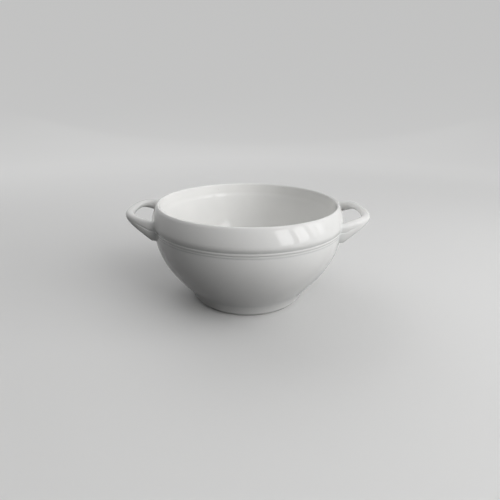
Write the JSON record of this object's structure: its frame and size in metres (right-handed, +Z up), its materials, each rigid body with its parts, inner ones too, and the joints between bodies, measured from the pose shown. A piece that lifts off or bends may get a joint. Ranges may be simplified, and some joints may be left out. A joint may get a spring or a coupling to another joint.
{
  "type": "two-handled soup cup",
  "caption": "Wide round soup cup of white glazed porcelain with a rounded bowl, a collared rim over fine beads, a flared foot ring and a horizontal loop handle at each side.",
  "frame": {"origin": "middle of the standing ring, on the surface that the cup stands on", "axes": "+X from the cup's axis through the middle of the right handle, +Y away from the viewer of the front, +Z up along the cup's axis"},
  "size_m": [0.1634, 0.1302, 0.0682],
  "materials": {
    "white_glaze": "glossy clear glaze over neutral white porcelain",
    "foot_glaze": "the same glossy glaze, wiped off the standing edge, which is bare matt biscuit",
    "slip_glaze": "the same glossy glaze, pooled slightly thicker over the luting slip"
  },
  "bodies": {
    "root": {"foot_ring": "foot_glaze", "bowl": "white_glaze", "lower_bead": "white_glaze", "upper_bead": "white_glaze", "collar": "white_glaze", "right_handle": "white_glaze", "right_front_slip": "slip_glaze", "right_back_slip": "slip_glaze", "left_handle": "white_glaze", "left_front_slip": "slip_glaze", "left_back_slip": "slip_glaze"}
  },
  "joints": []
}
